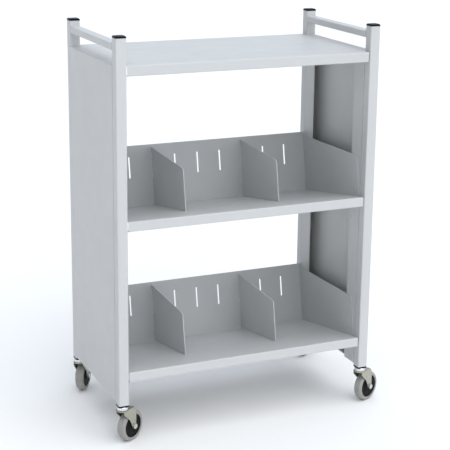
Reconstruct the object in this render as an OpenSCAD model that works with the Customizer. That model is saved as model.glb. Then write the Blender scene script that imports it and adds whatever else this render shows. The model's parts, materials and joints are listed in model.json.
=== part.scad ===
// Mobile book cart: square-tube posts, pan-shaped side panels, one flat top shelf, two sloping
// slotted trays with plug-in dividers, push bars between the posts and four swivel casters.
// +X is the cart's right, +Y its back, +Z up. z = 0 is the floor, and the origin lies under the
// middle of the box that the whole cart fills with its casters trailing as set below.

/* [Frame] */
// Width over the posts
frame_w = 662; // [480:1:900]
// Depth over the posts
frame_d = 353; // [340:1:460]
// Length of each post, from its foot to its top end
post_len = 860; // [850:1:1000]
// Side of the square post tube
post = 25.4; // [22:0.1:32]
// Outer corner radius of the post tube
post_r = 3; // [1:0.5:4]
// Wall of the post tube
post_wall = 1.5; // [1:0.1:2]
// Thickness of the shelf and panel sheet
sheet = 1.2; // [0.8:0.1:1.5]

/* [Push bars] */
// Height of the push bar's section
bar_h = 16; // [12:1:20]
// Underside of the push bars, above the post feet
bar_level = 831; // [830:1:840]
// Corner radius of the push bar's section
bar_r = 2.5; // [1:0.5:4]

/* [Side panels] */
// Gap from the post feet up to the panel's lower edge
panel_foot = 4; // [2:1:20]
// Width of the panel's flat top and bottom flanges
panel_flange = 17.5; // [14:0.5:20]
// Width of the inner lips beside the posts
panel_lip = 47; // [36:1:60]
// Distance of the spare hole in the front lip below the middle shelf's front edge
lip_hole_drop = 63; // [50:1:100]

/* [Shelves] */
// Height of the top shelf's surface above the post feet
top_level = 799; // [780:1:810]
// Height of the middle tray's front edge above the post feet
middle_level = 444; // [400:1:480]
// Height of the bottom tray's front edge above the post feet
bottom_level = 80; // [75:1:110]
// Height of the shelves' front lips
lip_h = 24; // [18:1:30]
// Width of the fold under each lip
lip_fold = 10; // [6:1:12]
// Inner radius of the bends in the sheet
bend_r = 1.3; // [0.8:0.1:2]
// How far the lips stand back from the posts' outer faces
lip_setback = 2; // [1:0.5:4]
// Gap between a lip's end and the post beside it
lip_gap = 2.4; // [1:0.1:4]

/* [Trays] */
// Slope of the trays, down towards the back
slope = 10; // [6:0.5:11]
// Depth of the tray's deck, measured along the slope
deck_len = 310; // [290:1:312]
// Height of the back plate, square to the deck
back_h = 154; // [140:1:170]
// Number of slots in a back plate
slot_count = 9; // [3:2:9]
// Spacing of the slots
slot_pitch = 61.5; // [40:0.5:66]
// Width of a slot
slot_w = 4; // [3.2:0.1:4]
// Lower end of the slots above the deck
slot_from = 73; // [60:1:80]
// Length of a slot
slot_len = 52.5; // [40:0.5:56]
// Height of the upturned tray ends at the front
end_front_h = 102; // [80:1:110]
// Height of the upturned tray ends at the back
end_rear_h = 146; // [120:1:150]

/* [Dividers] */
// Depth of a divider from its front edge to the back plate
divider_len = 209; // [150:1:250]
// Height of a divider at the front
divider_front_h = 102; // [80:1:120]
// Height of a divider at the back
divider_rear_h = 147; // [130:1:150]
// Radius of a divider's front corner
divider_r = 9; // [4:1:20]
// Thickness of a divider
divider_t = 2; // [1.2:0.1:2.4]
// Slot that the left-hand dividers plug into, counted from the middle slot
left_slot = -2; // [-4:1:-1]
// Slot that the right-hand dividers plug into, counted from the middle slot
right_slot = 2; // [1:1:4]

/* [Casters] */
// Diameter of the wheel over its tyre
wheel_d = 75; // [65:1:75]
// Width of the tyre
tyre_w = 21; // [20:0.5:22]
// Diameter of the wheel's core, inside the tyre
core_d = 57.4; // [50:0.2:60]
// Distance of the axle below the post feet
axle_drop = 61.5; // [61:0.5:66]
// Distance of the axle behind the swivel axis
trail = 27; // [22:0.5:30]
// Direction that the front left wheel trails in, from +X towards +Y
turn_front_left = 31; // [-180:1:180]
// Direction that the front right wheel trails in, from +X towards +Y
turn_front_right = 24; // [-180:1:180]
// Direction that the rear left wheel trails in, from +X towards +Y
turn_rear_left = 54; // [-180:1:180]
// Direction that the rear right wheel trails in, from +X towards +Y
turn_rear_right = 40; // [-180:1:180]

/* [Hidden] */
$fn = 64;
eps = 0.01;

// Frame
half_w = frame_w / 2;
half_d = frame_d / 2;
inner_x = half_w - post;
inner_y = half_d - post;
post_x = half_w - post / 2;
post_y = half_d - post / 2;
foot_z = axle_drop + wheel_d / 2;
tube_in = post - 2 * post_wall;
cap_lap = 0.4;
cap_h = 3;
cap_crown_h = 1.5;
cap_plug_h = 12;
cap_step = 1.5;
inside_r = 1;
weld_gap = 0.1;

// Sheet parts
front_y = -half_d + lip_setback;
rear_y = half_d - lip_setback;
lip_x = inner_x - lip_gap;
tray_x = inner_x - 0.2;
fit_gap = 0.2;
panel_y = inner_y - weld_gap;
shelf_tab_x = half_w - panel_flange - fit_gap;
post_clear = 0.6;
notch_over = 1;
heel_r = bend_r + sheet / 2;
end_clear = 2;
end_from = (post - lip_setback + end_clear) / cos(slope);
lip_hole_in = 37;
lip_hole_y = lip_hole_in - inner_y;
lip_hole_r = 1.9;
cut = 8;

// Dividers
divider_lift = 0.6;
divider_gap = 1;
tab_lift = 2;
tab_play = 1.5;
tab_from = slot_from + tab_lift;
tab_to = slot_from + slot_len - tab_play;
tab_len = 10;

// Rivets
rivet_r = 2;
rivet_hole_r = 2.05;
rivet_head_r = 3.5;
rivet_head_h = 1.2;
rivet_tail_r = 2.8;
rivet_y = inner_y - panel_lip / 2;
tray_rivets_front = [22, 74];
tray_rivets_rear = [26, 104];
top_rivet_drop = 14;

// Casters
stem_r = 5.5;
stem_len = 34;
stem_gap = 0.1;
stem_tip = 1;
socket_over = 6;
race_r = 13.8;
race_wall = 1.2;
race_top = -4;
race_end = -12;
race_under = -5.5;
lower_race_r = race_r - 2;
ball_r = 1.7;
ball_ring_r = 8.6;
ball_count = 12;
pin_r = 4;
pin_play = 0.5;
pin_head_r = 6.5;
pin_head_h = 3;
pin_tip = 1;
bore_gap = 0.06;
crown_top = -9.5;
crown_z = -13;
crown_t = 2.6;
crown_r = 14.8;
crown_back = 8;
crown_front = 28;
leg_in = tyre_w / 2 + 1.5;
leg_t = 2;
leg_end_r = 6.5;
leg_top = crown_z - crown_t / 2;
leg_shoulder = 7;
leg_rake = 24;
leg_knee = 28;
leg_back = 9;
fork_reach = norm([crown_back, leg_in + leg_t]);
axle_r = 4;
axle_gap = 0.05;
axle_tail = 1.5;
axle_head_h = 3.6;
bush_r = 6;
bush_gap = 0.05;
boss_r = 9.5;
boss_gap = 0.3;
boss_edge = 0.8;
core_r = core_d / 2;
rim_inset = 0.9;
rim_land = 3;
rim_dish = 5;
guard_step = 0.6;
wheel_r = wheel_d / 2;
shoulder_r = 6;
nut_r = 6.8;
nut_h = 5;

CORNERS = ["front_left", "front_right", "rear_left", "rear_right"];
SIDES = ["left", "right"];
function side_x(corner) = (corner == "front_left" || corner == "rear_left") ? -1 : 1;
function side_y(corner) = (corner == "front_left" || corner == "front_right") ? -1 : 1;
function turn(corner) =
    corner == "front_left" ? turn_front_left
    : corner == "front_right" ? turn_front_right
    : corner == "rear_left" ? turn_rear_left
    : turn_rear_right;

// Reach of a trailing wheel along X or Y, measured from the axle's middle
shoulder_w = tyre_w / 2 - shoulder_r;
function reach_x(a) = (wheel_r - shoulder_r) * abs(cos(a)) + shoulder_w * abs(sin(a)) + shoulder_r;
function reach_y(a) = (wheel_r - shoulder_r) * abs(sin(a)) + shoulder_w * abs(cos(a)) + shoulder_r;
function axle_x(c) = side_x(c) * post_x + trail * cos(turn(c));
function axle_y(c) = side_y(c) * post_y + trail * sin(turn(c));
high_x = max([for (c = CORNERS) max(post_x + fork_reach, axle_x(c) + reach_x(turn(c)))]);
low_x = min([for (c = CORNERS) min(-post_x - fork_reach, axle_x(c) - reach_x(turn(c)))]);
high_y = max([for (c = CORNERS) max(post_y + fork_reach, axle_y(c) + reach_y(turn(c)))]);
low_y = min([for (c = CORNERS) min(-post_y - fork_reach, axle_y(c) - reach_y(turn(c)))]);
middle = [(high_x + low_x) / 2, (high_y + low_y) / 2];

// ---------- placing ----------

// From the cart's own middle at the level of the post feet to the part's frame
module from_feet() {
    translate([-middle[0], -middle[1], foot_z]) children();
}

// A tray's own frame: +Y runs back down the deck from its front edge, and +Z stands off the deck
module on_tray(level) {
    translate([0, front_y, level]) rotate([-slope, 0, 0]) children();
}

// A caster's own frame: z = 0 at the post foot, and +X is the way the wheel trails
module at_caster(corner) {
    from_feet()
        translate([side_x(corner) * post_x, side_y(corner) * post_y, 0])
            rotate([0, 0, turn(corner)])
                children();
}

module both_sides() {
    children();
    mirror([1, 0, 0]) children();
}

// ---------- shared shapes ----------

// A box between two corners
module block(low, high) {
    translate(low) cube(high - low);
}

// A rectangle with round corners, centred
module round_rect(w, d, r) {
    square([w - 2 * r, d], center = true);
    square([w, d - 2 * r], center = true);
    for (x = [-1, 1], y = [-1, 1])
        translate([x * (w / 2 - r), y * (d / 2 - r)]) circle(r);
}

// Unit vector from a to b, and the vector turned left by an angle
function unit(a, b) = (b - a) / norm(b - a);
function turned(v, a) = [v[0] * cos(a) - v[1] * sin(a), v[0] * sin(a) + v[1] * cos(a)];

// Points of one face of a bent sheet at corner b, where the sheet lies left of the line a-b-c;
// off is 0 for the face on the line and the sheet's thickness for the other face
function bend(a, b, c, off) =
    let (
        d1 = unit(a, b),
        d2 = unit(b, c),
        angle = atan2(d1[0] * d2[1] - d1[1] * d2[0], d1 * d2),
        way = sign(angle),
        line_r = way > 0 ? bend_r + sheet : bend_r,
        start = b - d1 * line_r * tan(abs(angle) / 2),
        spoke = turned(d1, -90 * way),
        centre = start - spoke * line_r
    )
    [for (k = [0 : 6]) centre + turned(spoke, angle * k / 6) * (line_r - way * off)];

// One face of the whole sheet
function face(path, off) =
    let (
        last = len(path) - 1,
        d_first = unit(path[0], path[1]),
        d_last = unit(path[last - 1], path[last])
    )
    concat(
        [path[0] + turned(d_first, 90) * off],
        [for (i = [1 : last - 1]) each bend(path[i - 1], path[i], path[i + 1], off)],
        [path[last] + turned(d_last, 90) * off]
    );

// A sheet bent along a path of [y, z] corners and as wide as the given half width each way
module bent_sheet(path, half_width) {
    other = face(path, sheet);
    outline = concat(face(path, 0), [for (i = [len(other) - 1 : -1 : 0]) other[i]]);
    rotate([90, 0, 90])
        translate([0, 0, -half_width])
            linear_extrude(2 * half_width) polygon(outline);
}

// Outline of a divider or tray end in [along the deck, off the deck], with a round front corner
// and a round heel where the deck bends up into the back plate
function wing(from, to, foot, front_h, rear_h, r) =
    let (
        rise = atan2(rear_h - front_h, to - from),
        corner = [from + r, front_h + r * tan(rise) - r / cos(rise)],
        heel = [to - heel_r, foot + heel_r]
    )
    concat(
        [[from, foot]],
        [for (k = [0 : 8]) corner + r * turned([-1, 0], -(90 - rise) * k / 8)],
        [[to, rear_h]],
        [for (k = [0 : 4]) heel + heel_r * turned([1, 0], -90 * k / 4)]
    );

// The outline set up along the cart's depth, with its thickness along X from x
module wing_plate(points, x, t) {
    translate([x, 0, 0]) rotate([90, 0, 90]) linear_extrude(t) polygon(points);
}

// A blind rivet along +X, its domed head's underside at x = 0 and its shank of the given length
module rivet(grip) {
    rotate([0, -90, 0])
        rotate_extrude($fn = 32)
            polygon(concat(
                [
                    [0, -grip - rivet_head_h], [rivet_r, -grip - rivet_head_h],
                    [rivet_tail_r, -grip - rivet_head_h / 2], [rivet_tail_r, -grip],
                    [rivet_r, -grip], [rivet_r, 0]
                ],
                [
                    for (k = [0 : 3])
                        [rivet_head_r * cos(k * 90 / 4), rivet_head_h * sin(k * 90 / 4)]
                ],
                [[0, rivet_head_h]]
            ));
}

// A drilled hole along X through the sheets at x
module rivet_hole(x, r = rivet_hole_r) {
    translate([x, 0, 0]) rotate([0, 90, 0]) cylinder(h = cut, r = r, center = true, $fn = 32);
}

// Places of a tray's rivets on one side, as [y, z] above the post feet
function tray_height(level, y, off) = level - (y - front_y) * tan(slope) + off;
function tray_rivets(level) = concat(
    [for (h = tray_rivets_front) [-rivet_y, tray_height(level, -rivet_y, h)]],
    [for (h = tray_rivets_rear) [rivet_y, tray_height(level, rivet_y, h)]]
);
function top_rivets() = [for (y = [-rivet_y, rivet_y]) [y, top_level - top_rivet_drop]];
function all_rivets() = concat(top_rivets(), tray_rivets(middle_level), tray_rivets(bottom_level));

// ---------- frame ----------

module post(corner) {
    color("gainsboro")
        from_feet()
            translate([side_x(corner) * post_x, side_y(corner) * post_y, 0])
                linear_extrude(post_len)
                    difference() {
                        round_rect(post, post, post_r);
                        round_rect(tube_in, tube_in, post_r - post_wall);
                    }
}

module cap(corner) {
    wide = post + 2 * cap_lap;
    crown = wide - 2 * cap_step;
    plug = tube_in - 2 * fit_gap;
    color([0.1, 0.1, 0.13])
        from_feet()
            translate([side_x(corner) * post_x, side_y(corner) * post_y, post_len]) {
                linear_extrude(cap_h) round_rect(wide, wide, post_r + cap_lap);
                translate([0, 0, cap_h - eps])
                    linear_extrude(cap_crown_h + eps) round_rect(crown, crown, post_r);
                translate([0, 0, -cap_plug_h])
                    linear_extrude(cap_plug_h + eps) round_rect(plug, plug, inside_r);
            }
}

module push_bar(side) {
    color("gainsboro")
        from_feet()
            translate([(side == "left" ? -1 : 1) * post_x, panel_y, bar_level + bar_h / 2])
                rotate([90, 0, 0])
                    linear_extrude(2 * panel_y)
                        difference() {
                            round_rect(post, bar_h, bar_r);
                            round_rect(tube_in, bar_h - 2 * post_wall, inside_r);
                        }
}

// Sheet pan between the posts: outer skin bent into top and bottom flanges, an end beside each
// post and a lip along each end
module side_panel(side) {
    flange_x = half_w - panel_flange;
    lip_top = top_level - sheet - fit_gap;
    path = [
        [flange_x, panel_foot], [half_w, panel_foot], [half_w, top_level], [flange_x, top_level]
    ];
    end = concat(
        [[inner_x, panel_foot]], face(path, 0), [[flange_x, lip_top], [inner_x, lip_top]]
    );
    color("lightgray")
        from_feet()
            mirror([side == "left" ? 1 : 0, 0, 0])
                difference() {
                    union() {
                        rotate([0, 0, -90]) bent_sheet(path, panel_y);
                        for (way = [0, 1])
                            mirror([0, way, 0]) {
                                translate([0, sheet - panel_y, 0])
                                    rotate([90, 0, 0]) linear_extrude(sheet) polygon(end);
                                block(
                                    [inner_x, -panel_y, panel_foot],
                                    [inner_x + sheet, panel_lip - panel_y, lip_top]
                                );
                            }
                    }
                    for (p = all_rivets())
                        translate([0, p[0], p[1]]) rivet_hole(inner_x);
                    translate([0, lip_hole_y, middle_level - lip_hole_drop])
                        rivet_hole(inner_x, lip_hole_r);
                }
}

// ---------- shelves ----------

// Flat shelf with a folded lip at front and back, a tab over each side panel and end flanges
module top_shelf() {
    lip_foot = top_level - lip_h;
    path = [
        [rear_y - lip_fold, lip_foot], [rear_y, lip_foot], [rear_y, top_level],
        [front_y, top_level], [front_y, lip_foot], [front_y + lip_fold, lip_foot]
    ];
    color("gainsboro")
        from_feet()
            difference() {
                union() {
                    bent_sheet(path, lip_x);
                    block(
                        [-shelf_tab_x, -panel_y, top_level - sheet],
                        [shelf_tab_x, panel_y, top_level]
                    );
                    both_sides()
                        block(
                            [tray_x - sheet, -panel_y, lip_foot],
                            [tray_x, panel_y, top_level - sheet / 2]
                        );
                }
                both_sides()
                    for (p = top_rivets())
                        translate([0, p[0], p[1]]) rivet_hole(inner_x);
            }
}

// Sloping tray: folded front lip, deck, slotted back plate and upturned ends behind the posts
module tray(level) {
    lip_foot = level - lip_h;
    back_y = front_y + deck_len * cos(slope);
    back_z = level - deck_len * sin(slope);
    path = [
        [back_y + back_h * sin(slope), back_z + back_h * cos(slope)], [back_y, back_z],
        [front_y, level], [front_y, lip_foot], [front_y + lip_fold, lip_foot]
    ];
    ends = wing(end_from, deck_len + sheet / 2, -sheet / 2, end_front_h, end_rear_h, divider_r);
    color("gainsboro")
        from_feet()
            difference() {
                union() {
                    difference() {
                        bent_sheet(path, tray_x);
                        both_sides()
                            block(
                                [lip_x, -half_d, lip_foot - notch_over],
                                [half_w, post_clear - inner_y, level + notch_over]
                            );
                    }
                    on_tray(level) both_sides() wing_plate(ends, tray_x - sheet, sheet);
                }
                on_tray(level)
                    for (k = [-(slot_count - 1) / 2 : (slot_count - 1) / 2])
                        translate([k * slot_pitch, deck_len, slot_from + slot_len / 2])
                            cube([slot_w, cut, slot_len], center = true);
                both_sides()
                    for (p = tray_rivets(level))
                        translate([0, p[0], p[1]]) rivet_hole(inner_x);
            }
}

// Rivets that hold a shelf to the panels' lips, at the given [y, z] places on both sides
module rivets(places) {
    color("silver")
        from_feet()
            both_sides()
                for (p = places)
                    translate([tray_x - sheet, p[0], p[1]]) rivet(2 * sheet + fit_gap);
}

// Divider plate that stands just off the deck, its tab through a slot of the back plate
module divider(level, slot) {
    front = deck_len - divider_len;
    rear = deck_len - divider_gap;
    plate = wing(front, rear, divider_lift, divider_front_h, divider_rear_h, divider_r);
    color("lightgray")
        from_feet()
            on_tray(level)
                translate([slot * slot_pitch - divider_t / 2, 0, 0]) {
                    wing_plate(plate, 0, divider_t);
                    block([0, rear - eps, tab_from], [divider_t, deck_len + tab_len, tab_to]);
                }
}

// ---------- casters ----------

// Plastic socket: a square plug in the post, a flange under its foot and a bore for the stem
module socket(corner) {
    plug = tube_in - 2 * fit_gap;
    color([0.08, 0.08, 0.08])
        from_feet()
            translate([side_x(corner) * post_x, side_y(corner) * post_y, 0])
                difference() {
                    union() {
                        translate([0, 0, race_top])
                            linear_extrude(-race_top) round_rect(post, post, post_r);
                        translate([0, 0, -eps])
                            linear_extrude(stem_len + socket_over) round_rect(plug, plug, inside_r);
                    }
                    translate([0, 0, race_top - eps])
                        cylinder(h = stem_len - race_top + socket_over / 2, r = stem_r + stem_gap);
                }
}

// Fixed half of the swivel: stem, upper race with its skirt, and the king pin with its head
module stem(corner) {
    head_top = crown_z - crown_t - pin_play;
    head_end = head_top - pin_head_h;
    color("silver")
        at_caster(corner)
            rotate_extrude()
                polygon([
                    [0, stem_len], [stem_r - stem_tip, stem_len], [stem_r, stem_len - stem_tip],
                    [stem_r, race_top], [race_r - race_wall, race_top],
                    [race_r, race_top - race_wall], [race_r, race_end],
                    [race_r - race_wall, race_end], [race_r - race_wall, race_under],
                    [pin_r, race_under], [pin_r, head_top], [pin_head_r, head_top],
                    [pin_head_r, head_end + pin_tip], [pin_head_r - pin_tip, head_end], [0, head_end]
                ]);
}

module balls(corner) {
    middle_z = (race_under + crown_top) / 2;
    color("lightsteelblue")
        at_caster(corner)
            for (k = [0 : ball_count - 1])
                rotate([0, 0, k * 360 / ball_count])
                    translate([ball_ring_r, 0, middle_z]) sphere(ball_r, $fn = 24);
}

// Swivel fork: crown with its raised lower race and a tapered leg each side of the wheel
module fork(corner) {
    end = [trail - leg_end_r * cos(leg_rake), -axle_drop - leg_end_r * sin(leg_rake)];
    knee_z = leg_top - leg_knee;
    leg = [
        [-crown_back, leg_top], [crown_front, leg_top],
        [trail + leg_end_r, leg_top - leg_shoulder], [trail + leg_end_r, -axle_drop],
        end, [end[0] - (knee_z - end[1]) * tan(leg_rake), knee_z], [-crown_back, leg_top - leg_back]
    ];
    color([0.64, 0.64, 0.6])
        at_caster(corner)
            difference() {
                union() {
                    translate([0, 0, crown_z]) cylinder(h = crown_top - crown_z, r = lower_race_r);
                    translate([0, 0, crown_z - crown_t]) cylinder(h = crown_t, r = crown_r);
                    block(
                        [-crown_back, -leg_in - leg_t, crown_z - crown_t],
                        [crown_front, leg_in + leg_t, crown_z]
                    );
                    for (way = [0, 1])
                        mirror([0, way, 0])
                            translate([0, -leg_in, 0])
                                rotate([90, 0, 0])
                                    linear_extrude(leg_t) {
                                        polygon(leg);
                                        translate([trail, -axle_drop]) circle(leg_end_r);
                                    }
                }
                translate([0, 0, crown_z])
                    cylinder(h = 2 * cut, r = pin_r + bore_gap, center = true);
                translate([trail, 0, -axle_drop])
                    rotate([90, 0, 0]) cylinder(h = 4 * leg_in, r = axle_r + axle_gap, center = true);
            }
}

// Axle bolt with a hexagonal head, lying across the fork
module axle(corner) {
    head = leg_in + leg_t;
    color("silver")
        at_caster(corner)
            translate([trail, 0, -axle_drop])
                rotate([90, 0, 0]) {
                    translate([0, 0, -head - nut_h - axle_tail])
                        cylinder(h = 2 * head + nut_h + axle_tail + eps, r = axle_r);
                    translate([0, 0, head]) cylinder(h = axle_head_h, r = nut_r, $fn = 6);
                }
}

module nut(corner) {
    color("silver")
        at_caster(corner)
            translate([trail, leg_in + leg_t, -axle_drop])
                rotate([-90, 0, 0])
                    difference() {
                        cylinder(h = nut_h, r = nut_r, $fn = 6);
                        cylinder(h = 3 * nut_h, r = axle_r + axle_gap, center = true);
                    }
}

// Steel spacer that the wheel turns on, clamped between the fork's legs
module bush(corner) {
    color("slategray")
        at_caster(corner)
            translate([trail, 0, -axle_drop])
                rotate([90, 0, 0])
                    difference() {
                        cylinder(h = 2 * (leg_in - bush_gap), r = bush_r, center = true);
                        cylinder(h = 3 * leg_in, r = axle_r + axle_gap, center = true);
                    }
}

// Wheel core with its thread guards and boss
module core(corner) {
    boss_w = leg_in - boss_gap;
    rim_w = tyre_w / 2 - rim_inset;
    side = [
        [bush_r + bore_gap, boss_w], [boss_r - boss_edge, boss_w], [boss_r, boss_w - boss_edge],
        [boss_r + boss_edge, rim_w + guard_step], [core_r - rim_dish, rim_w - guard_step],
        [core_r - rim_land, rim_w], [core_r, rim_w]
    ];
    outline = concat(side, [for (i = [len(side) - 1 : -1 : 0]) [side[i][0], -side[i][1]]]);
    color([0.1, 0.1, 0.1])
        at_caster(corner)
            translate([trail, 0, -axle_drop])
                rotate([90, 0, 0])
                    rotate_extrude() polygon(outline);
}

// Tyre with round shoulders
module tyre(corner) {
    color([0.58, 0.57, 0.55])
        at_caster(corner)
            translate([trail, 0, -axle_drop])
                rotate([90, 0, 0])
                    rotate_extrude()
                        intersection() {
                            translate([core_r, -tyre_w / 2]) square([wheel_r - core_r, tyre_w]);
                            union() {
                                square([2 * (wheel_r - shoulder_r), tyre_w], center = true);
                                square([2 * wheel_r, 2 * shoulder_w], center = true);
                                for (way = [-1, 1])
                                    translate([wheel_r - shoulder_r, way * shoulder_w])
                                        circle(shoulder_r);
                            }
                        }
}

// ---------- drawing ----------

for (c = CORNERS) {
    post(c);
    cap(c);
    socket(c);
    stem(c);
    balls(c);
    fork(c);
    axle(c);
    nut(c);
    bush(c);
    core(c);
    tyre(c);
}
for (s = SIDES) {
    push_bar(s);
    side_panel(s);
}
top_shelf();
tray(middle_level);  // middle_tray
tray(bottom_level);  // bottom_tray
rivets(top_rivets());  // top_shelf_rivets
rivets(tray_rivets(middle_level));  // middle_tray_rivets
rivets(tray_rivets(bottom_level));  // bottom_tray_rivets
divider(middle_level, left_slot);  // middle_divider_left
divider(middle_level, right_slot);  // middle_divider_right
divider(bottom_level, left_slot);  // bottom_divider_left
divider(bottom_level, right_slot);  // bottom_divider_right
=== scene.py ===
"""Looks for the book cart. Every CAD piece keeps its shape and gets a finish, and the small things
that the CAD leaves out (weld beads, rings moulded on the wheels) are added on the bodies that they
move with."""

import json
import math

import bpy
from mathutils import Matrix, Vector


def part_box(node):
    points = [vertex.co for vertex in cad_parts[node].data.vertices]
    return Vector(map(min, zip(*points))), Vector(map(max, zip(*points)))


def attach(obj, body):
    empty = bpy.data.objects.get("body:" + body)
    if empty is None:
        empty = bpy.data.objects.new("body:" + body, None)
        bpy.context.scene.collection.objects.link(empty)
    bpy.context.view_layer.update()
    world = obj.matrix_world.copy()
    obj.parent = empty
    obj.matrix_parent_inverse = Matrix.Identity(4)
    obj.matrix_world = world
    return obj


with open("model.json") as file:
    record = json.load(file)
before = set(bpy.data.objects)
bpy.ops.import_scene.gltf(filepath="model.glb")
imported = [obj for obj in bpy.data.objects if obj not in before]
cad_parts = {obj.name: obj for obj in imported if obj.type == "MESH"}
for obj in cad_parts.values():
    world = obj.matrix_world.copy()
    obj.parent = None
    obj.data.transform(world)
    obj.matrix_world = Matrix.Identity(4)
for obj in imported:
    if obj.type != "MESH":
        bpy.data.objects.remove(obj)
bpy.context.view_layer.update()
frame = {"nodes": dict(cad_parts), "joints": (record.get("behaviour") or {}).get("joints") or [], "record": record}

CORNERS = ("front_left", "front_right", "rear_left", "rear_right")
SIDES = ("left", "right")
MM = 0.001

# The cart's own middle, between its posts, in the row frame
POSTS_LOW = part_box("post_front_left")[0]
POSTS_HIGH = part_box("post_rear_right")[1]
CART_MIDDLE = Vector(((POSTS_LOW.x + POSTS_HIGH.x) / 2, (POSTS_LOW.y + POSTS_HIGH.y) / 2, 0))


# ---------- node helpers ----------

# Most of a noise texture's values lie in this range
NOISE_RANGE = (0.3, 0.7)


class Shader:
    """A new material's node tree, with one Principled shader and short calls to add nodes."""

    def __init__(self, name):
        self.material = bpy.data.materials.new(name)
        self.material.use_nodes = True
        self.nodes = self.material.node_tree.nodes
        self.links = self.material.node_tree.links
        self.shader = self.nodes["Principled BSDF"]
        self.place = self.add("ShaderNodeTexCoord").outputs["Object"]

    def add(self, kind, **values):
        node = self.nodes.new(kind)
        for key, value in values.items():
            setattr(node, key, value)
        return node

    def set(self, **values):
        for key, value in values.items():
            self.shader.inputs[key.replace("_", " ")].default_value = value

    def noise(self, scale, detail=3.0, rough=0.5):
        """Noise whose features are about 1/scale metres across."""
        node = self.add("ShaderNodeTexNoise")
        node.inputs["Scale"].default_value = scale
        node.inputs["Detail"].default_value = detail
        node.inputs["Roughness"].default_value = rough
        self.links.new(self.place, node.inputs["Vector"])
        return node.outputs["Fac"]

    def ramp(self, factor, low, high):
        """The factor over the noise's usual range as a colour between low and high."""
        node = self.add("ShaderNodeValToRGB")
        first, last = node.color_ramp.elements
        first.position, last.position = NOISE_RANGE
        first.color, last.color = (*low, 1), (*high, 1)
        self.links.new(factor, node.inputs["Fac"])
        return node.outputs["Color"]

    def span(self, factor, low, high):
        """The factor over the noise's usual range as a number from low to high."""
        node = self.add("ShaderNodeMapRange")
        node.inputs["From Min"].default_value = NOISE_RANGE[0]
        node.inputs["From Max"].default_value = NOISE_RANGE[1]
        node.inputs["To Min"].default_value = low
        node.inputs["To Max"].default_value = high
        self.links.new(factor, node.inputs["Value"])
        return node.outputs["Result"]

    def mix(self, factor, a, b):
        """From a to b by the factor, each a colour or a socket."""
        node = self.add("ShaderNodeMix", data_type="RGBA")
        self.links.new(factor, node.inputs["Factor"])
        for socket, value in ((node.inputs["A"], a), (node.inputs["B"], b)):
            if isinstance(value, tuple):
                socket.default_value = (*value, 1)
            else:
                self.links.new(value, socket)
        return node.outputs["Result"]

    def bump(self, height, distance, strength=1.0):
        node = self.add("ShaderNodeBump")
        node.inputs["Distance"].default_value = distance
        node.inputs["Strength"].default_value = strength
        self.links.new(height, node.inputs["Height"])
        self.links.new(node.outputs["Normal"], self.shader.inputs["Normal"])

    def colour(self, output):
        self.links.new(output, self.shader.inputs["Base Color"])

    def rough(self, output):
        self.links.new(output, self.shader.inputs["Roughness"])


def tone(colour, factor):
    """The colour made lighter or darker."""
    return tuple(min(1.0, c * factor) for c in colour)


# ---------- finishes ----------


def powder_coat(name, colour):
    """Light grey powder coat: fine orange peel, faint cloudiness and a few rubbed, dusty patches."""
    s = Shader(name)
    cloud = s.ramp(s.noise(4, 3), tone(colour, 0.985), tone(colour, 1.01))
    dust = s.span(s.noise(30, 6, 0.65), 0.0, 0.10)
    s.colour(s.mix(dust, cloud, tone(colour, 0.94)))
    s.rough(s.span(s.noise(22, 5, 0.6), 0.36, 0.50))
    s.bump(s.noise(650, 2, 0.4), 0.00012, 0.35)
    s.set(IOR=1.5)
    return s.material


def plastic(name, colour, low, high, grain=1400):
    """Dull moulded plastic with a fine spark-eroded grain and faint handling marks."""
    s = Shader(name)
    s.set(Specular_IOR_Level=0.12)
    s.colour(s.ramp(s.noise(60, 5), tone(colour, 0.85), tone(colour, 1.25)))
    s.rough(s.span(s.noise(90, 5, 0.6), low, high))
    s.bump(s.noise(grain, 2), 0.00010, 0.3)
    return s.material


def plated(name, colour, low, high, spangle=160):
    """Plated steel whose tone and gloss wander a little over the surface."""
    s = Shader(name)
    s.colour(s.ramp(s.noise(spangle, 5, 0.6), tone(colour, 0.86), tone(colour, 1.08)))
    s.rough(s.span(s.noise(spangle * 1.7, 4, 0.6), low, high))
    s.bump(s.noise(spangle * 6, 2, 0.5), 0.00005, 0.4)
    s.set(Metallic=1.0)
    return s.material


def rubber(name, colour):
    """Grey rubber with moulding grain and floor dust rubbed into it."""
    s = Shader(name)
    base = s.ramp(s.noise(45, 5), tone(colour, 0.9), tone(colour, 1.08))
    s.colour(s.mix(s.span(s.noise(130, 6, 0.7), 0.0, 0.35), base, tone(colour, 0.72)))
    s.rough(s.span(s.noise(200, 4), 0.55, 0.78))
    s.bump(s.noise(1100, 3), 0.00018, 0.5)
    return s.material


def weld_finish(name, colour):
    """Weld metal under the powder coat, rippled."""
    s = Shader(name)
    s.colour(s.ramp(s.noise(300, 3), tone(colour, 0.9), tone(colour, 1.0)))
    s.rough(s.span(s.noise(120, 3), 0.4, 0.55))
    s.bump(s.noise(420, 3), 0.0004, 0.6)
    return s.material


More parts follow.
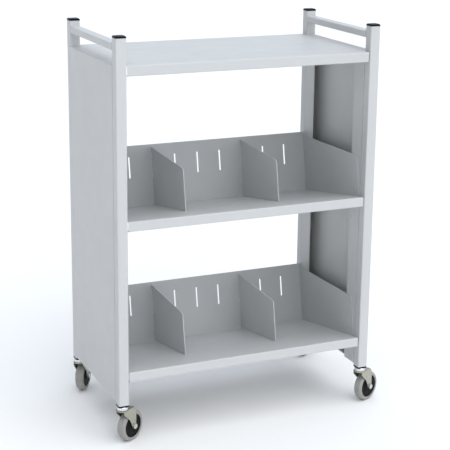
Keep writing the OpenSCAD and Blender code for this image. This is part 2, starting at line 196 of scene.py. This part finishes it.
COAT = (0.575, 0.575, 0.57)
FINISH = {
    "powder_coat": powder_coat("powder_coat", COAT),
    "rivet": powder_coat("rivet_paint", tone(COAT, 0.96)),
    "cap_plastic": plastic("cap_plastic", (0.005, 0.006, 0.012), 0.38, 0.52),
    "socket_plastic": plastic("socket_plastic", (0.006, 0.006, 0.008), 0.4, 0.55),
    "fork_zinc": plated("fork_zinc", (0.47, 0.46, 0.39), 0.30, 0.48),
    "stem_steel": plated("stem_steel", (0.78, 0.79, 0.80), 0.10, 0.22),
    "fastener_steel": plated("fastener_steel", (0.66, 0.66, 0.63), 0.2, 0.36, 240),
    "ball_steel": plated("ball_steel", (0.6, 0.6, 0.62), 0.12, 0.25, 300),
    "core_plastic": plastic("core_plastic", (0.006, 0.006, 0.006), 0.42, 0.58, 1000),
    "tyre_rubber": rubber("tyre_rubber", (0.34, 0.33, 0.31)),
}
WELD = weld_finish("weld", COAT)


# ---------- CAD pieces ----------


# Edges that turn by more than this are sharp
SHARP_ANGLE = math.radians(32)
WELD_REACH = 0.001 * MM


def soften(piece, width):
    """Rounds a CAD piece's sharp edges without touching its own mesh."""
    weld = piece.modifiers.new("weld", "WELD")
    weld.merge_threshold = WELD_REACH
    bevel = piece.modifiers.new("edges", "BEVEL")
    bevel.width = width
    bevel.segments = 2
    bevel.limit_method = "ANGLE"
    bevel.angle_limit = SHARP_ANGLE
    bevel.harden_normals = True


# Balls have no edges and bushes are hidden. The shelves' bends are round in the CAD already, and a
# bevel would crease their thin slotted sheet
LEFT_SHARP = ("balls", "bush", "middle_tray", "bottom_tray", "top_shelf")


def edge_of(node):
    """Radius of the rounding on a node's sharp edges."""
    if node.startswith(("middle_divider", "bottom_divider")):
        return 0.5 * MM
    if node.startswith("side_panel"):
        return 0.3 * MM
    if node.startswith(("cap", "core")):
        return 0.6 * MM
    return 0.25 * MM


for entry in frame["record"]["subparts"]:
    node = entry["node"]
    piece = frame["nodes"][node]
    for place in piece.material_slots:
        place.material = FINISH[entry["material_slot"]]
    if not node.startswith(LEFT_SHARP):
        soften(piece, edge_of(node))


# ---------- building new pieces ----------


def new_piece(name, points, faces, finish, body):
    """A smooth mesh object that rides on a body."""
    mesh = bpy.data.meshes.new(name)
    mesh.from_pydata([tuple(p) for p in points], [], faces)
    mesh.materials.append(finish)
    for face in mesh.polygons:
        face.use_smooth = True
    mesh.validate()
    piece = bpy.data.objects.new(name, mesh)
    bpy.context.scene.collection.objects.link(piece)
    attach(piece, body)


def tube_ring(points, radius, sides=8):
    """Points and faces of a closed bead of round section that runs along a closed line."""
    count = len(points)
    ring, faces = [], []
    for i, p in enumerate(points):
        along = (points[(i + 1) % count] - points[i - 1]).normalized()
        side = along.orthogonal().normalized()
        other = along.cross(side)
        for k in range(sides):
            a = math.tau * k / sides
            ring.append(p + radius * (side * math.cos(a) + other * math.sin(a)))
    for i in range(count):
        for k in range(sides):
            a, b = i * sides, ((i + 1) % count) * sides
            faces.append((a + k, a + (k + 1) % sides, b + (k + 1) % sides, b + k))
    return ring, faces


# ---------- weld beads ----------

# The bead's own radius, how far its middle sinks into the bar, and the bar's corner radius
BEAD = 0.9 * MM
BEAD_SINK = 0.5 * MM
BAR_CORNER = 2.5 * MM
CORNER_STEPS = 5


def rounded_outline(low, high, radius):
    """Points [x, z] of a rectangle with round corners, in order."""
    points = []
    corners = ((high[0], high[1]), (low[0], high[1]), (low[0], low[1]), (high[0], low[1]))
    for turn, (x, z) in enumerate(corners):
        cx = x - math.copysign(radius, x - (low[0] + high[0]) / 2)
        cz = z - math.copysign(radius, z - (low[1] + high[1]) / 2)
        for k in range(CORNER_STEPS):
            a = math.pi / 2 * (turn + k / (CORNER_STEPS - 1))
            points.append((cx + radius * math.cos(a), cz + radius * math.sin(a)))
    return points


def add_bar_weld(side, end):
    """The bead where a push bar butts against a post."""
    low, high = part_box(f"push_bar_{side}")
    y = low.y + BEAD_SINK if end == "front" else high.y - BEAD_SINK
    outline = rounded_outline((low.x + BEAD_SINK, low.z), (high.x - BEAD_SINK, high.z), BAR_CORNER)
    points, faces = tube_ring([Vector((x, y, z)) for x, z in outline], BEAD)
    new_piece(f"bar_weld_{end}_{side}", points, faces, WELD, "frame")


for side in SIDES:
    for end in ("front", "rear"):
        add_bar_weld(side, end)


# ---------- wheels ----------

JOINTS = {joint["name"]: joint for joint in frame["joints"]}


def circle_points(centre, axis, radius, along, steps=64):
    """Points of a circle about an axis, a little way along it."""
    side = axis.orthogonal().normalized()
    other = axis.cross(side)
    turn = [math.tau * i / steps for i in range(steps)]
    return [centre + axis * along + radius * (side * math.cos(a) + other * math.sin(a)) for a in turn]


def add_rings(name, corner, finish, rings):
    """Rings moulded on both faces of a wheel, each (radius, distance from the middle, bead radius)."""
    joint = JOINTS[f"wheel_spin_{corner}"]
    centre, axis = Vector(joint["pos_m"]), Vector(joint["axis"]).normalized()
    points, faces = [], []
    for radius, along, bead in rings:
        for face in (-1, 1):
            more, quads = tube_ring(circle_points(centre, axis, radius, face * along), bead)
            faces += [tuple(k + len(points) for k in quad) for quad in quads]
            points += more
    new_piece(f"{name}_{corner}", points, faces, finish, f"wheel_{corner}")


CORE_R = (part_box("core_front_left")[1].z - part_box("core_front_left")[0].z) / 2
WHEEL_R = (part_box("tyre_front_left")[1].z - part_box("tyre_front_left")[0].z) / 2
TYRE_HALF = 10.5 * MM

# Rings on each face of the wheel: radius, distance from the wheel's middle, and bead radius
CORE_RINGS = [
    (CORE_R - 2.2 * MM, TYRE_HALF - 1.1 * MM, 0.8 * MM),
    (CORE_R - 12 * MM, TYRE_HALF - 0.7 * MM, 0.5 * MM),
]
TYRE_RINGS = [
    (CORE_R + 1.0 * MM, TYRE_HALF, 0.35 * MM),
    (WHEEL_R - 5.2 * MM, TYRE_HALF - 0.05 * MM, 0.25 * MM),
]
for corner in CORNERS:
    add_rings("core_rings", corner, FINISH["core_plastic"], CORE_RINGS)
    add_rings("tyre_rings", corner, FINISH["tyre_rubber"], TYRE_RINGS)


# ---------- camera, lights and floor ----------

FLOOR_SIZE = 80
SUN_DISTANCE = 4

# The world dims to the left from this X to that, and the glow at the horizon fades from this height
# to that, both on a unit sphere round the cart
LEFT_FADE = (-1, 0.2)
HORIZON_FADE = (0.12, 0.4)

# Place of the camera from the cart's middle at floor level, and the way it looks
CAMERA_PLACE = Vector((-1.271, -2.876, 1.3535))
CAMERA_YAW = math.radians(24.26)
CAMERA_PITCH = math.radians(-14.79)
CAMERA_ROLL = math.radians(0.7)
CAMERA_LENS = 105.5
CAMERA_SENSOR = 36
CAMERA_SHIFT = (-0.011, -0.056)


def add_camera():
    """The camera, level first, then turned by its yaw, pitch and roll."""
    data = bpy.data.cameras.new("camera")
    data.lens = CAMERA_LENS
    data.sensor_width = CAMERA_SENSOR
    data.shift_x, data.shift_y = CAMERA_SHIFT
    camera = bpy.data.objects.new("camera", data)
    bpy.context.scene.collection.objects.link(camera)
    level = Matrix.Rotation(-CAMERA_YAW, 3, "Z")
    tilt = Matrix.Rotation(math.pi / 2 + CAMERA_PITCH, 3, "X")
    roll = Matrix.Rotation(CAMERA_ROLL, 3, "Z")
    camera.matrix_world = Matrix.Translation(CART_MIDDLE + CAMERA_PLACE) @ (level @ tilt @ roll).to_4x4()
    bpy.context.scene.camera = camera


def add_sun(name, azimuth, elevation, level, spread, colour):
    """Soft, even light from one direction. Azimuth 0 comes from the front and 90 from the right;
    level 1 lights a surface that faces it as much as a white studio all round would."""
    data = bpy.data.lights.new(name, "SUN")
    data.energy = level * math.pi
    data.angle = math.radians(spread)
    data.color = colour
    light = bpy.data.objects.new(name, data)
    bpy.context.scene.collection.objects.link(light)
    a, e = math.radians(azimuth), math.radians(elevation)
    towards = Vector((math.sin(a) * math.cos(e), -math.cos(a) * math.cos(e), math.sin(e)))
    light.location = CART_MIDDLE + SUN_DISTANCE * towards
    light.rotation_mode = "QUATERNION"
    light.rotation_quaternion = towards.to_track_quat("Z", "Y")


def add_world(low_colour, high_colour, left_level, right_level, low_gain):
    """A pale studio all round, brighter near the horizon, bluer overhead and dimmer on the left."""
    world = bpy.data.worlds.new("studio")
    world.use_nodes = True
    nodes, links = world.node_tree.nodes, world.node_tree.links
    way = nodes.new("ShaderNodeTexCoord")
    split = nodes.new("ShaderNodeSeparateXYZ")
    links.new(way.outputs["Generated"], split.inputs["Vector"])
    strength = nodes.new("ShaderNodeMath")
    strength.operation = "MULTIPLY"
    fades = (("X", LEFT_FADE, left_level, right_level), ("Z", HORIZON_FADE, low_gain, 1))
    for place, (axis, fade, low, high) in enumerate(fades):
        level = nodes.new("ShaderNodeMapRange")
        level.interpolation_type = "SMOOTHSTEP"
        level.inputs["From Min"].default_value = fade[0]
        level.inputs["From Max"].default_value = fade[1]
        level.inputs["To Min"].default_value = low
        level.inputs["To Max"].default_value = high
        links.new(split.outputs[axis], level.inputs["Value"])
        links.new(level.outputs["Result"], strength.inputs[place])
    sky = nodes.new("ShaderNodeMix")
    sky.data_type = "RGBA"
    sky.inputs["A"].default_value = (*low_colour, 1)
    sky.inputs["B"].default_value = (*high_colour, 1)
    links.new(split.outputs["Z"], sky.inputs["Factor"])
    background = nodes["Background"]
    links.new(sky.outputs["Result"], background.inputs["Color"])
    links.new(strength.outputs["Value"], background.inputs["Strength"])
    bpy.context.scene.world = world


def add_floor():
    """A plain pale floor, not part of the cart."""
    s = Shader("floor")
    s.colour(s.ramp(s.noise(0.6, 2), (0.94, 0.92, 0.90), (0.95, 0.93, 0.91)))
    s.set(Roughness=0.8)
    bpy.ops.mesh.primitive_plane_add(size=FLOOR_SIZE, location=CART_MIDDLE)
    floor = bpy.context.object
    floor.name = "floor"
    floor.data.materials.append(s.material)


add_camera()
add_world((0.94, 0.99, 1.04), (0.84, 0.97, 1.16), 0.20, 0.60, 1.9)
add_sun("front", 4, 20, 0.16, 70, (0.94, 1.0, 1.04))
add_sun("high", 6, 62, 0.21, 60, (1.08, 1.0, 0.91))
add_sun("top", 0, 80, 0.43, 90, (0.93, 1.0, 1.06))
add_floor()
bpy.context.scene.view_settings.view_transform = "Standard"
